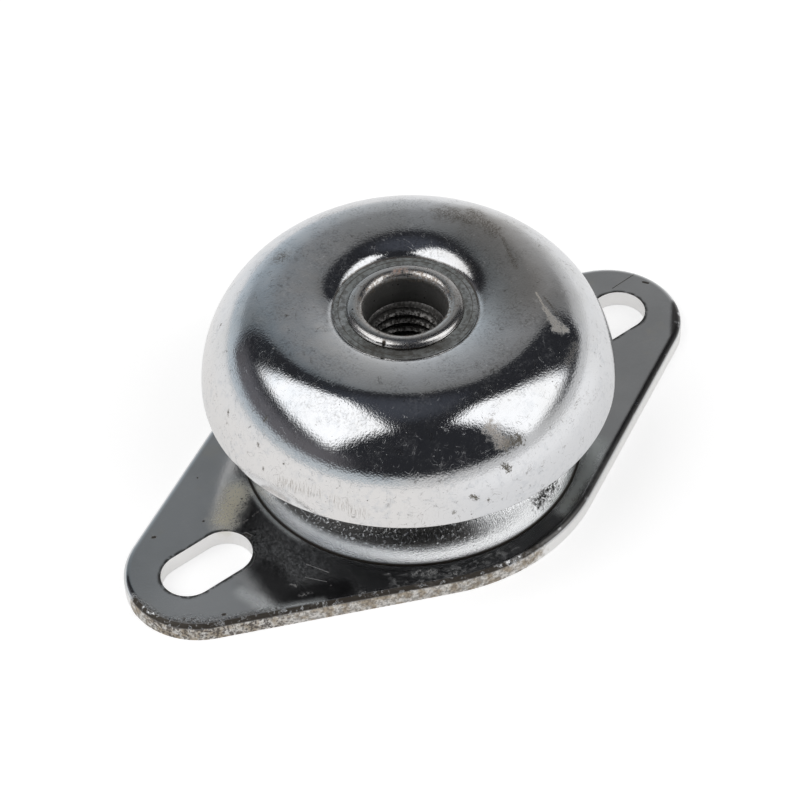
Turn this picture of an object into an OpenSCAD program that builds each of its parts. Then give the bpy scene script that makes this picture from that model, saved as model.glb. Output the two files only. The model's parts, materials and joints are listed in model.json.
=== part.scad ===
// Anti-vibration pedestal mount, a captive bell mount for one bolt from above.
// A pressed flange with two slots carries a raised boss. A rubber moulding stands
// on the boss, lines its hole and pads its underside. A drawn bell cap sits on the
// rubber, with a threaded bush swaged into its dimple. The bush reaches down
// through the boss to a washer, so that the mount can't be pulled apart.
// Sizes are in millimetres. The origin is the centre of the flange's underside, X
// runs along the two slots, and Z points up along the thread.

/* [Flange] */
// Thickness of the flange's sheet
plate_t = 3; // [2.5:0.1:3.5]
// Width of the flange across its round middle
plate_width = 61; // [58:0.5:68]
// Radius of each rounded ear
ear_r = 12; // [10:0.5:14]
// Metal left between the end of a slot and the end of the flange
ear_margin = 5.3; // [3:0.1:8]
// Distance between the centres of the two slots
slot_spacing = 80.5; // [76:0.5:90]
// Width of each slot
slot_w = 8.7; // [6.5:0.1:10]
// Length of each slot from end to end
slot_length = 15.4; // [12:0.1:18]
// Radius that the press rolls onto the flange's top edge
roll_r = 1.2; // [0.3:0.1:1.5]

/* [Boss] */
// Diameter of the raised boss where it leaves the flange
boss_d = 53.2; // [50:0.2:55]
// Height of the boss above the flange
boss_h = 8.5; // [7.5:0.1:10]
// Lean of the boss's wall from upright, in degrees
boss_lean = 19; // [8:1:25]
// Radius round the shoulder of the boss
boss_shoulder_r = 12; // [6:0.5:13]
// Radius in the corner at the foot of the boss
boss_foot_r = 0.3; // [0.2:0.1:1.5]
// Diameter of the hole in the top of the boss
boss_hole_d = 23; // [21.5:0.5:25]

/* [Bell cap] */
// Height of the cap's crest above the flange's underside, unloaded
mount_height = 33.8; // [33:0.1:40]
// Outer diameter of the cap at its rim
cap_d = 64; // [60:0.5:70]
// Depth of the cap from its crest down to its rim
cap_depth = 16.5; // [15:0.1:19]
// Thickness of the cap's sheet
cap_t = 2; // [1.5:0.1:2.2]
// Diameter of the ring that forms the cap's crest
crest_d = 38.4; // [36:0.2:42]
// Fullness of the crown from crest to rim, where 2 is an ellipse
crown_fullness = 1.9; // [1.7:0.05:2.6]
// Depth of the dimple below the crest
dimple_depth = 2; // [1.5:0.1:3]
// Slope of the dimple where it meets its seat, in degrees from level
dimple_slope = 50; // [35:1:65]
// Diameter of the flat seat coined into the dimple
seat_d = 22; // [21:0.1:25]

/* [Threaded bush] */
// Nominal diameter of the thread
thread_d = 12; // [10:2:12]
// Pitch of the thread
thread_pitch = 1.75; // [1.5:0.25:1.75]
// Length of the threaded bore down to its drilled cone
thread_length = 16; // [12:0.5:17]
// Depth of the plain mouth above the thread
mouth_depth = 6; // [4:0.5:6.5]
// Diameter of the plain mouth
mouth_d = 12.6; // [12.3:0.1:13.4]
// Diameter of the swaged lip that holds the bush in the cap
lip_d = 18; // [17.4:0.1:19.6]
// Diameter of the ring that runs along the top of the lip
lip_crest_d = 15.2; // [14.4:0.1:16.2]
// Height of the swaged lip above its seat
lip_h = 1; // [0.5:0.1:1.3]
// Depth of the bell mouth that the swaging leaves inside the lip
flare_depth = 1.3; // [0.8:0.1:3]
// Diameter of the neck that passes through the cap
neck_d = 16.4; // [15.8:0.1:16.8]
// Diameter of the shoulder under the cap
shoulder_d = 23; // [21:0.5:25]
// Thickness of the shoulder under the cap
shoulder_t = 2.2; // [1.5:0.1:3]
// Diameter of the stem
stem_d = 17; // [16:0.5:17.5]

/* [Rubber] */
// Thickness of the rubber that lines the boss's hole
lining_t = 1.5; // [1:0.1:2]
// Thickness of the rebound pad under the boss
pad_t = 1.4; // [1:0.1:1.6]
// Diameter of the rebound pad
pad_d = 31; // [29:0.5:32]
// Diameter of the moulding's foot on the boss's shoulder
foot_d = 43; // [40:0.5:46]

/* [Rebound washer] */
// Thickness of the washer
washer_t = 2; // [1.5:0.1:2.2]
// Diameter of the washer
washer_d = 30; // [27:0.5:31]
// Free lift before the washer meets the rebound pad
rebound_gap = 1.2; // [1:0.1:1.5]
// Diameter of the spigot that is swaged into the washer
spigot_d = 11; // [9:0.5:12]

/* [Hidden] */
$fn = 128;
// Gap left where one piece is pressed or bonded to its neighbour
bond_gap = 0.05;
// Gap between the rubber and the cap, which moves against the flange
cap_gap = 0.3;
// Steps in each curve of a turned or pressed section
steps = 14;
// Steps in the flange's rolled edge, and sides of its round ends
roll_steps = 4;
outline_fn = 96;

// Flange
mid_r = plate_width / 2;
ear_x = slot_spacing / 2 + slot_length / 2 + ear_margin - ear_r;

// Boss: its top and bottom surfaces share the centres of their arcs
boss_top = plate_t + boss_h;
wall_x = boss_d / 2;
foot_x = wall_x + boss_foot_r * tan(45 - boss_lean / 2);
foot_centre = [foot_x, plate_t + boss_foot_r];
foot_rise = boss_foot_r * (1 - sin(boss_lean));
// The shoulder is no larger than the height that the wall leaves it
shoulder_limit = (boss_h - foot_rise) / (1 - sin(boss_lean));
shoulder_r = min(boss_shoulder_r, shoulder_limit);
shoulder_rise = shoulder_r * (1 - sin(boss_lean));
wall_rise = boss_h - foot_rise - shoulder_rise;
wall_foot_x = foot_x - boss_foot_r * cos(boss_lean);
shoulder_centre = [
    wall_foot_x - wall_rise * tan(boss_lean) - shoulder_r * cos(boss_lean),
    boss_top - shoulder_r
];
hole_r = boss_hole_d / 2;

// Cap
rim_z = mount_height - cap_depth;
rim_r = cap_d / 2;
crest_r = crest_d / 2;
rim_edge_r = cap_t / 4;
seat_r = seat_d / 2;
seat_z = mount_height - dimple_depth;
crown_centre = [crest_r, rim_z + rim_edge_r];
crown_rise = cap_depth - rim_edge_r;
neck_r = neck_d / 2;

// Bush
bore_r = (thread_d - thread_pitch) / 2;
lip_z = seat_z + lip_h;
thread_z = lip_z - mouth_depth;
drill_z = thread_z - thread_length;
// A drill's point has an included angle of 118 degrees
drill_point_angle = 118;
shoulder_z = seat_z - cap_t;

// Rubber and washer
ceiling_z = boss_top - plate_t;
pad_z = ceiling_z - pad_t;
washer_z = pad_z - rebound_gap - washer_t;

// Points on a circular arc from angle a0 to angle a1
function arc(centre, r, a0, a1, n = steps) = [
    for (i = [0:n])
        let (a = a0 + (a1 - a0) * i / n)
        centre + r * [cos(a), sin(a)]
];

// Points on a quarter of a superellipse, with half axes size and the given
// fullness. side is 1 where it falls away outwards and -1 where it falls inwards
function quarter(centre, size, fullness, side, a0, a1) = [
    for (i = [0:steps])
        let (a = a0 + (a1 - a0) * i / steps)
        centre + [side * size[0] * pow(cos(a), 2 / fullness), size[1] * pow(sin(a), 2 / fullness)]
];

// Points on a curve from p to q that leaves p towards the point between them
function bend(p, between, q) = [
    for (i = [0:steps])
        let (t = i / steps)
        (1 - t) * (1 - t) * p + 2 * t * (1 - t) * between + t * t * q
];

// The same points in the opposite order
function backwards(points) = [for (i = [len(points) - 1:-1:0]) points[i]];

// Half section of a disc of the flange's sheet, with its rolled top corner
module edge_section(outer) {
    polygon(concat(
        [[0, 0], [outer, 0]],
        arc([outer - roll_r, plate_t - roll_r], roll_r, 0, 90, roll_steps),
        [[0, plate_t]]
    ));
}

// Flat blank with a rolled top edge: straight flanks run from its round middle to
// its two round ears
module flange_blank() {
    hull() {
        rotate_extrude($fn = outline_fn)
        edge_section(mid_r);
        for (side = [-1, 1])
            translate([side * ear_x, 0, 0])
            rotate_extrude($fn = outline_fn)
            edge_section(ear_r);
    }
}

module slot() {
    end_x = (slot_length - slot_w) / 2;
    for (side = [-1, 1])
        translate([side * end_x, 0, -plate_t])
        cylinder(h = 3 * plate_t, d = slot_w);
    translate([-end_x, -slot_w / 2, -plate_t])
    cube([2 * end_x, slot_w, 3 * plate_t]);
}

// Section of the raised boss, from its hole out into the flat of the flange
module boss_section() {
    lap = plate_t;
    polygon(concat(
        [[hole_r, boss_top]],
        arc(shoulder_centre, shoulder_r, 90, boss_lean),
        arc(foot_centre, boss_foot_r, 180 + boss_lean, 270),
        [[foot_x + lap, plate_t], [foot_x + lap, 0]],
        arc(foot_centre, boss_foot_r + plate_t, 270, 180 + boss_lean),
        arc(shoulder_centre, shoulder_r - plate_t, boss_lean, 90),
        [[hole_r, ceiling_z]]
    ));
}

// One pressing: the slotted flange and its raised boss
module base_plate() {
    color([0.55, 0.57, 0.58]) {
        difference() {
            flange_blank();
            translate([0, 0, -plate_t])
            cylinder(h = 3 * plate_t, r = foot_x + plate_t / 2);
            for (side = [-1, 1])
                translate([side * slot_spacing / 2, 0, 0])
                slot();
        }
        rotate_extrude()
        boss_section();
    }
}

// Curves of the cap, measured inwards from its outer skin by depth
function crown(depth, a0, a1) = quarter(
    crown_centre, [rim_r - crest_r - depth, crown_rise - depth], crown_fullness, 1, a0, a1
);
function dimple(depth) =
    let (
        // A layer that is deeper in the sheet turns its corner further out
        edge_r = seat_r + depth * tan(dimple_slope / 2),
        crest = [crest_r, mount_height - depth],
        edge = [edge_r, seat_z - depth]
    )
    bend(crest, [edge_r + dimple_depth / tan(dimple_slope), crest[1]], edge);

// One drawn sheet: crown, rolled-in dimple and coined seat with the bush's hole
module bell_cap() {
    bore = neck_r + bond_gap;
    color([0.72, 0.73, 0.75])
    rotate_extrude()
    polygon(concat(
        crown(0, 0, 90),
        dimple(0),
        [[bore, seat_z], [bore, seat_z - cap_t]],
        backwards(dimple(cap_t)),
        crown(cap_t, 90, 0),
        arc([rim_r - cap_t + rim_edge_r, rim_z + rim_edge_r], rim_edge_r, 180, 270),
        arc([rim_r - rim_edge_r, rim_z + rim_edge_r], rim_edge_r, 270, 360)
    ));
}

// Moulded rubber, bonded between the cap and the boss, through the boss's hole and
// under it
module rubber_element() {
    inner_r = hole_r - lining_t;
    // Room for the bush's shoulder in the top of the moulding
    recess_r = shoulder_d / 2 + cap_gap;
    recess_z = shoulder_z - shoulder_t - cap_gap;
    skin = cap_t + cap_gap;
    // The moulding leaves the cap's wall at this angle round the crown
    leave_angle = 20;
    top = crown(skin, leave_angle, 90);
    foot_angle = acos((foot_d / 2 - shoulder_centre[0]) / (shoulder_r + bond_gap));
    foot = arc(shoulder_centre, shoulder_r + bond_gap, foot_angle, 90);
    waist = [foot[0][0], (foot[0][1] + top[0][1]) / 2];
    color([0.08, 0.08, 0.09])
    rotate_extrude()
    polygon(concat(
        [[inner_r, pad_z], [pad_d / 2, pad_z], [pad_d / 2, ceiling_z - bond_gap]],
        [[hole_r - bond_gap, ceiling_z - bond_gap], [hole_r - bond_gap, boss_top + bond_gap]],
        backwards(foot),
        bend(foot[0], waist, top[0]),
        top,
        dimple(skin),
        [[recess_r, seat_z - skin], [recess_r, recess_z], [inner_r, recess_z]]
    ));
}

// Turned bush: lip, neck, shoulder, stem and swaged spigot, with a blind bore
module threaded_bush() {
    lip_r = lip_d / 2;
    lip_crest_r = lip_crest_d / 2;
    mouth_r = mouth_d / 2;
    flare_z = lip_z - flare_depth;
    stem_r = stem_d / 2;
    spigot_r = spigot_d / 2;
    head_h = washer_t / 2;
    color([0.66, 0.66, 0.66])
    rotate_extrude()
    polygon(concat(
        [[0, washer_z], [spigot_r + head_h, washer_z], [spigot_r, washer_z + head_h]],
        [[spigot_r, washer_z + washer_t], [stem_r, washer_z + washer_t]],
        [[stem_r, shoulder_z - shoulder_t], [shoulder_d / 2, shoulder_z - shoulder_t]],
        [[shoulder_d / 2, shoulder_z], [neck_r, shoulder_z], [neck_r, seat_z], [lip_r, seat_z]],
        quarter([lip_crest_r, seat_z], [lip_r - lip_crest_r, lip_h], 2, 1, 0, 90),
        quarter([lip_crest_r, flare_z], [lip_crest_r - mouth_r, flare_depth], 2, -1, 90, 0),
        [[mouth_r, thread_z]],
        [[bore_r, thread_z], [bore_r, drill_z], [0, drill_z - bore_r / tan(drill_point_angle / 2)]]
    ));
}

// Washer held by the bush's swaged spigot, countersunk for it from below
module rebound_washer() {
    spigot_r = spigot_d / 2 + bond_gap;
    head_h = washer_t / 2;
    color([0.5, 0.51, 0.52])
    rotate_extrude()
    polygon([
        [spigot_r + head_h, washer_z], [washer_d / 2, washer_z],
        [washer_d / 2, washer_z + washer_t], [spigot_r, washer_z + washer_t],
        [spigot_r, washer_z + head_h]
    ]);
}

base_plate();
rubber_element();
bell_cap();
threaded_bush();
rebound_washer();
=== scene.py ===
import json
import math

import bmesh
import bpy
from mathutils import Euler, Matrix, Vector


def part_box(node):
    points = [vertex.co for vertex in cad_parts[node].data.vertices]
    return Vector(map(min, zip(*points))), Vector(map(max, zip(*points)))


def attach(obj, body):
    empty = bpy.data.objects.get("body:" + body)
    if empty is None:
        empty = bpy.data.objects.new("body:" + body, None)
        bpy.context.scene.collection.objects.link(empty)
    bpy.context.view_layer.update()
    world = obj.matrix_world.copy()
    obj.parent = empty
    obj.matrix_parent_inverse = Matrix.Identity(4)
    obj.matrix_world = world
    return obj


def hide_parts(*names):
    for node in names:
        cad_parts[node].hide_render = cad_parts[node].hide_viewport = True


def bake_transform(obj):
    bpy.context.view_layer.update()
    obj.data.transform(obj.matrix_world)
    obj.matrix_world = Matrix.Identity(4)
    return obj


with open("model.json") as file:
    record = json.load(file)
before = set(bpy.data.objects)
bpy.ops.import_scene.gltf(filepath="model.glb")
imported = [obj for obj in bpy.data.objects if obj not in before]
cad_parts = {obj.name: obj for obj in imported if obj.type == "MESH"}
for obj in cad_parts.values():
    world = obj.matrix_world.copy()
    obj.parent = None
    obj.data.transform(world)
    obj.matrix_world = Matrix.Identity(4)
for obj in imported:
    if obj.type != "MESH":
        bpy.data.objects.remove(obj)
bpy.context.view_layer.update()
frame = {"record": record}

# Camera. It looks down on the near left of the mount at the photograph's angle, from
# about half a metre, with the object's centre a little off the middle of the picture.
MM = 0.001
camera_turn = math.radians(-36.61)
camera_height = math.radians(46.04)
camera_roll = math.radians(3.08)
camera_distance = 488.05 * MM
camera_aim = Vector((2.26, 5.61, 5.64)) * MM
camera_lens = 138.4
facing = (
    Matrix.Rotation(camera_turn, 3, "Z")
    @ Matrix.Rotation(math.pi / 2 - camera_height, 3, "X")
    @ Matrix.Rotation(-camera_roll, 3, "Z")
)
camera_data = bpy.data.cameras.new("photo_camera")
camera_data.lens = camera_lens
camera_data.sensor_width = 36
camera_data.clip_start = 0.01
camera = bpy.data.objects.new("photo_camera", camera_data)
camera.rotation_euler = facing.to_euler()
camera.location = camera_aim + camera_distance * (facing @ Vector((0, 0, 1)))
bpy.context.scene.collection.objects.link(camera)
bpy.context.scene.camera = camera
bpy.context.scene.view_settings.view_transform = "Standard"

# Studio. A pale floor and a low pale surround, a grey screen behind the mount, a dark room
# above, and two soft boxes. Lamps light the paint and the rubber. Metal mirrors the same
# boxes, drawn in the world with soft edges and at a lower glow that doesn't clip.
floor_size = 8.0
floor_paint = 0.5
floor_lift = 0.64
floor_lift_mirrored = 0.46
floor_lift_right = 0.14
box_light = 2.0
box_edge = 0.07
plain_level = 0.38
# Place in metres, turn in degrees, width and height, and the glow that mirrors see
soft_boxes = {
    "left_soft_box": ((-0.508, 0.155, 0.847), (-63.6, -7.2, 63.5), (0.93, 0.89), 1.33),
    "right_soft_box": ((0.311, -0.544, 0.779), (-90.2, 14.0, -143.7), (0.50, 1.31), 1.3),
}
away = -(facing @ Vector((0, 0, 1)))
away = Vector((away.x, away.y, 0)).normalized()
left = Vector((-away.y, away.x, 0))


class Value:
    """An output of a shader node. Arithmetic with it adds Math nodes to the node's tree."""

    def __init__(self, add, socket):
        self.add = add
        self.socket = socket

    def other(self, name):
        """Another output of the same node."""
        return Value(self.add, self.socket.node.outputs[name])

    def __add__(self, value):
        return calc("ADD", self, value)

    def __sub__(self, value):
        return calc("SUBTRACT", self, value)

    def __rsub__(self, value):
        return calc("SUBTRACT", value, self)

    def __mul__(self, value):
        return calc("MULTIPLY", self, value)

    def __truediv__(self, value):
        return calc("DIVIDE", self, value)

    def __rtruediv__(self, value):
        return calc("DIVIDE", value, self)

    def __abs__(self):
        return calc("ABSOLUTE", self)


def adder(tree):
    """A function that adds a shader node to the tree, sets it up, links or sets its inputs and
    gives one of its outputs."""

    def add(kind, inputs=None, output=0, **settings):
        node = tree.nodes.new("ShaderNode" + kind)
        for key, value in settings.items():
            setattr(node, key, value)
        for key, value in (inputs or {}).items():
            if isinstance(value, Value):
                tree.links.new(value.socket, node.inputs[key])
            else:
                node.inputs[key].default_value = value
        return Value(add, node.outputs[output]) if len(node.outputs) else None

    return add


def emptied(owner):
    """Clears the node tree of a material or world, and gives the function that adds to it."""
    owner.use_nodes = True
    owner.node_tree.nodes.clear()
    return adder(owner.node_tree)


def calc(operation, *values):
    """A Math node's result. At least one of the values is a node's output."""
    add = next(value.add for value in values if isinstance(value, Value))
    return add("Math", dict(enumerate(values)), operation=operation)


def vector(operation, *values):
    """A Vector Math node's result. The first value is a node's output."""
    output = "Value" if operation in ("DOT_PRODUCT", "LENGTH") else "Vector"
    return values[0].add("VectorMath", dict(enumerate(values)), output, operation=operation)


def scaled(value, factor):
    """The vector made longer or shorter by a factor."""
    return value.add("VectorMath", {0: value, "Scale": factor}, operation="SCALE")


def dot(first, second):
    return vector("DOT_PRODUCT", first, second)


def noise(place, scale, **settings):
    """Smooth noise round 0.5, with that many waves per metre."""
    return place.add("TexNoise", {"Vector": place, "Scale": scale, **settings})


def z_of(place):
    return place.add("SeparateXYZ", {0: place}, "Z")


def radius_of(place):
    """Distance from the axis of the thread."""
    return vector("LENGTH", vector("MULTIPLY", place, (1, 1, 0)))


def level_of(place):
    """The level direction from the axis of the thread to a place."""
    return vector("NORMALIZE", vector("MULTIPLY", place, (1, 1, 0)))


def fade(value, low, high):
    """0 up to low and 1 from high on, or the other way round where low is above high."""
    inputs = {"Value": value, "From Min": low, "From Max": high}
    return value.add("MapRange", inputs, interpolation_type="SMOOTHSTEP")


def blended(share, first, second):
    """Colour between first and second."""
    return share.add("MixRGB", {"Fac": share, "Color1": first, "Color2": second})


def background_rays(add, camera_share=1.0, mirror_share=1.0):
    """Shares for the rays that show the background: the camera's, and those off metal or
    through glass."""
    direct = add("LightPath", output="Is Camera Ray")
    bent = calc("MAXIMUM", direct.other("Is Glossy Ray"), direct.other("Is Transmission Ray"))
    return calc("MAXIMUM", direct * camera_share, bent * mirror_share)


def floor_material():
    material = bpy.data.materials.new("studio_floor")
    add = emptied(material)
    place = add("TexCoord", output="Object")
    bright_side = (-left - away * 0.45).normalized()
    side_fade = (0.5, 0.95)
    distance_fade = (0.06, 0.13)
    brighter = fade(dot(vector("NORMALIZE", place), bright_side), *side_fade)
    brighter *= fade(vector("LENGTH", place), *distance_fade)
    mirrored = brighter * floor_lift_right + floor_lift_mirrored
    paint = add("BsdfDiffuse", {"Color": (floor_paint, floor_paint, floor_paint, 1)})
    lift = background_rays(add, floor_lift, mirrored)
    light = add("Emission", {"Color": (1, 1, 1, 1), "Strength": lift})
    both = add("AddShader", {0: paint, 1: light})
    add("OutputMaterial", {"Surface": both})
    return material


bpy.ops.mesh.primitive_circle_add(vertices=64, radius=floor_size / 2, fill_type="NGON")
floor = bpy.context.object
floor.name = "studio_floor"
floor.data.materials.append(floor_material())


def soft_box_turn(turn):
    return Euler([math.radians(angle) for angle in turn])


def soft_box_lamp(name, place, turn, size):
    """A rectangular lamp that mirrors don't show. Its power follows from its area and its glow."""
    light = bpy.data.lights.new(name, "AREA")
    light.shape = "RECTANGLE"
    light.size, light.size_y = size
    light.energy = box_light * math.pi * size[0] * size[1]
    lamp = bpy.data.objects.new(name, light)
    lamp.location = place
    lamp.rotation_euler = soft_box_turn(turn)
    lamp.visible_camera = False
    lamp.visible_glossy = False
    bpy.context.scene.collection.objects.link(lamp)


def soft_box_seen(ray, place, turn, size):
    """1 where a ray from the mount meets the soft box, with soft edges."""
    place = Vector(place)
    across, up, out = soft_box_turn(turn).to_matrix().col
    reach = place.dot(out) / dot(ray, out)
    hit = scaled(ray, reach)
    mask = fade(reach, 0.0, box_edge)
    for axis, width in ((across, size[0]), (up, size[1])):
        off = dot(hit, axis) - place.dot(axis)
        mask *= fade(abs(off), width / 2 + box_edge, width / 2 - box_edge)
    return mask


def room_seen(ray):
    """What a mirror sees above the floor, apart from the soft boxes."""
    room_dark = (0.024, 0.025, 0.029, 1)
    ceiling_grey = (0.062, 0.067, 0.082, 1)
    side_grey = (0.14, 0.135, 0.145, 1)
    screen_blue = (0.86, 0.94, 1.0, 1)
    surround_levels = ((0.0, 0.70), (0.17, 0.54), (0.5, 0.40), (0.71, 0.25), (0.86, 0.18))
    low_edge = 0.14
    screen_rise = 0.70
    right_rise = 0.04
    edge_blur = 0.03
    side_loss = 0.45
    ceiling = (Vector((0, 0, 1)) + left * 0.1 + away * 0.03).normalized()
    beside = (left - away * 0.17).normalized()

    height = z_of(ray)
    level = level_of(ray)
    behind = dot(level, away)
    sideways = dot(level, left)
    in_screen = fade(behind, 0.5, 0.92)
    edge = in_screen * screen_rise + low_edge
    to_right = fade(sideways, 0.15, -0.2) * in_screen
    edge += to_right * right_rise
    ramp = ray.add("ValToRGB", {0: height})
    stops = ramp.socket.node.color_ramp.elements
    while len(stops) < len(surround_levels):
        stops.new(1.0)
    for stop, (position, value) in zip(stops, surround_levels):
        stop.position = position
        stop.color = (value, value, value, 1)
    to_side = 1.0 - fade(behind, 0.75, 0.98)
    dimmed = to_side * fade(height, 0.2, 0.3)
    pale = dimmed * -side_loss + 1.0
    tint = blended(fade(sideways, -0.2, 0.4), (1, 1, 1, 1), screen_blue)
    screen = vector("MULTIPLY", scaled(ramp, pale), tint)
    overhead = fade(dot(ray, ceiling), 0.90, 0.998)
    dark = blended(overhead, room_dark, ceiling_grey)
    low_side = fade(dot(level, beside), 0.55, 0.9) * fade(height, 0.5, 0.3)
    dark = blended(low_side, dark, side_grey)
    return blended(fade(height - edge, -edge_blur, edge_blur), screen, dark)


world = bpy.data.worlds.new("studio")
bpy.context.scene.world = world
add = emptied(world)
ray = add("TexCoord", output="Generated")
seen = room_seen(ray)
for name, (place, turn, size, glow) in soft_boxes.items():
    soft_box_lamp(name, place, turn, size)
    seen = blended(soft_box_seen(ray, place, turn, size), seen, (glow, glow, glow, 1))
plain = add("Background", {"Color": (1, 1, 1, 1), "Strength": plain_level})
mirrored = add("Background", {"Color": seen, "Strength": 1.0})
both = add("MixShader", {0: background_rays(add), 1: plain, 2: mirrored})
add("OutputWorld", {"Surface": both})

# Flange. One pressing of 3 mm sheet, zinc plated: a diamond with two slotted ears, and a
# boss drawn up in its middle. The blank's top edge is rolled by the shear, and the
# flat, the slots and the boss are made as the press makes them.
flange_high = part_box("base_plate")[1]
mounts = {mount["name"]: mount for mount in frame["record"]["mounts"]}
slots = mounts["flange_slots"]["dims"]
sheet = 3.0 * MM
middle_r = flange_high.y
ear_r = 12.0 * MM
ear_x = flange_high.x - ear_r
boss_top = flange_high.z
boss_foot_x = 26.6 * MM
boss_lean = math.radians(19)
foot_r = 0.3 * MM
shoulder_r = 12.0 * MM
boss_hole_r = 11.5 * MM
hole_edge_r = 0.5 * MM
boss_flat = 1.2 * MM
turn_sides = 256


def only(*pieces):
    """Selects these pieces and no others. The last one is the active one."""
    bpy.ops.object.select_all(action="DESELECT")
    for piece in pieces:
        piece.select_set(True)
        bpy.context.view_layer.objects.active = piece


def mode(name):
    """Enters edit mode, or goes back to object mode."""
    bpy.ops.object.mode_set(mode=name)


def edit(operator, **settings):
    """Runs one edit-mode operator of the mesh menu."""
    getattr(bpy.ops.mesh, operator)(**settings)


def edit_all(operator, **settings):
    """Runs one edit-mode operator on the whole mesh."""
    edit("select_all", action="SELECT")
    edit(operator, **settings)


def begun(x, z):
    """A new mesh in edit mode with a single point, from which a section is drawn."""
    only()
    bpy.ops.mesh.primitive_plane_add(size=MM, location=(0, 0, 0))
    mode("EDIT")
    edit("select_mode", type="VERT")
    edit_all("merge", type="CENTER")
    bpy.ops.transform.translate(value=(x, 0, z))
    return bpy.context.object


def draw_line(x, z):
    """Extends the section by a step outwards and up."""
    edit("extrude_vertices_move", TRANSFORM_OT_translate={"value": (x, 0, z)})


def arc(centre, radius, start, stop, steps):
    """Points on an arc, as (distance from the axis, height). Angles are in degrees."""
    points = []
    for i in range(steps + 1):
        a = math.radians(start + (stop - start) * i / steps)
        points.append((centre[0] + radius * math.cos(a), centre[1] + radius * math.sin(a)))
    return points


def turned(name, section, closed=True, sides=turn_sides):
    """Draws a half section point by point from the axis outwards, and spins it round the axis."""
    x, z = section[0]
    piece = begun(x, z)
    piece.name = name
    for next_x, next_z in section[1:] + section[:1] if closed else section[1:]:
        draw_line(next_x - x, next_z - z)
        x, z = next_x, next_z
    edit_all("remove_doubles", threshold=1e-7)
    edit_all("spin", steps=sides, angle=2 * math.pi, center=(0, 0, 0), axis=(0, 0, 1))
    edit_all("remove_doubles", threshold=1e-6)
    edit("normals_make_consistent", inside=False)
    mode("OBJECT")
    return piece


foot_x = boss_foot_x + foot_r * math.tan(math.pi / 4 - boss_lean / 2)


def boss_shoulder():
    """Centre of the arcs round the boss's shoulder."""
    rise = boss_top - sheet - (foot_r + shoulder_r) * (1 - math.sin(boss_lean))
    x = foot_x - (foot_r + shoulder_r) * math.cos(boss_lean) - rise * math.tan(boss_lean)
    return x, boss_top - shoulder_r


def boss_section():
    """Skin of the boss from the flat on top, over the boss and back along the underside."""
    lean = math.degrees(boss_lean)
    foot = (foot_x, sheet + foot_r)
    shoulder = boss_shoulder()
    flat_x = foot_x + boss_flat
    return [
        (flat_x, sheet),
        *arc(foot, foot_r, 270, 180 + lean, 8),
        *arc(shoulder, shoulder_r, lean, 90, 40),
        *arc((boss_hole_r + hole_edge_r, boss_top - hole_edge_r), hole_edge_r, 90, 180, 4),
        (boss_hole_r, boss_top - sheet),
        *arc(shoulder, shoulder_r - sheet, 90, lean, 24),
        *arc(foot, foot_r + sheet, 180 + lean, 270, 24),
        (flat_x, 0.0),
    ]


def selected_box(piece, low, high):
    """Selects the edges of piece, in edit mode, whose two ends lie between two corners."""
    mesh = bmesh.from_edit_mesh(piece.data)
    for part in (mesh.faces, mesh.edges, mesh.verts):
        for element in part:
            element.select = False
    for edge in mesh.edges:
        inside = all(low[i] <= v.co[i] <= high[i] for v in edge.verts for i in range(3))
        edge.select_set(inside)
    bmesh.update_edit_mesh(piece.data)


def cut_out(piece, cutter):
    """Takes the cutter's solid out of the piece."""
    only(piece)
    cut = piece.modifiers.new("cut", "BOOLEAN")
    cut.object = cutter
    cut.solver = "EXACT"
    bpy.ops.object.modifier_apply(modifier="cut")
    bpy.data.objects.remove(cutter)


def drum(radius, low, high, x=0.0, sides=turn_sides):
    """Adds an upright round solid. In edit mode it joins the mesh at hand."""
    bpy.ops.mesh.primitive_cylinder_add(
        vertices=sides, radius=radius, depth=high - low, location=(x, 0, (low + high) / 2)
    )


def hulled(name, drums):
    """A flat solid with straight flanks between drums, which are given as drum takes them."""
    only()
    drum(*drums[0])
    piece = bpy.context.object
    piece.name = name
    bpy.ops.object.transform_apply()
    mode("EDIT")
    for others in drums[1:]:
        drum(*others)
    edit_all("convex_hull")
    edit_all("dissolve_limited", angle_limit=math.radians(0.2))
    mode("OBJECT")
    return piece


roll_r = 1.2 * MM
burr_r = 0.15 * MM
slot_top_r = 0.45 * MM
slot_burr_r = 0.2 * MM
skin = 0.01 * MM
slot_sides = 128
ends_x = flange_high.x + skin
slot_x = slots["spacing_x_mm"] * MM / 2
slot_r = slots["hole_r_mm"] * MM
slot_end = slots["slot_length_mm"] * MM / 2 - slot_r

round_ends = [(middle_r, 0.0, sheet), (ear_r, 0.0, sheet, -ear_x), (ear_r, 0.0, sheet, ear_x)]
blank = hulled("pressed_flange", round_ends)
mode("EDIT")
for z, edge_r, steps in ((sheet, roll_r, 6), (0.0, burr_r, 2)):
    selected_box(blank, (-ends_x, -middle_r - skin, z - skin), (ends_x, middle_r + skin, z + skin))
    edit("bevel", offset=edge_r, segments=steps, affect="EDGES")
mode("OBJECT")
for side in (-1, 1):
    slot_ends = (side * slot_x - slot_end, side * slot_x + slot_end)
    cutters = [(slot_r, -sheet, 2 * sheet, x, slot_sides) for x in slot_ends]
    cut_out(blank, hulled("slot_cutter", cutters))
mode("EDIT")
for side in (-1, 1):
    reach = slot_end + slot_r + skin
    low_x, high_x = sorted((side * slot_x - reach, side * slot_x + reach))
    for z, edge_r in ((0.0, slot_burr_r), (sheet, slot_top_r)):
        selected_box(blank, (low_x, -slot_r - skin, z - skin), (high_x, slot_r + skin, z + skin))
        edit("bevel", offset=edge_r, segments=3, affect="EDGES")
mode("OBJECT")

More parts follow.
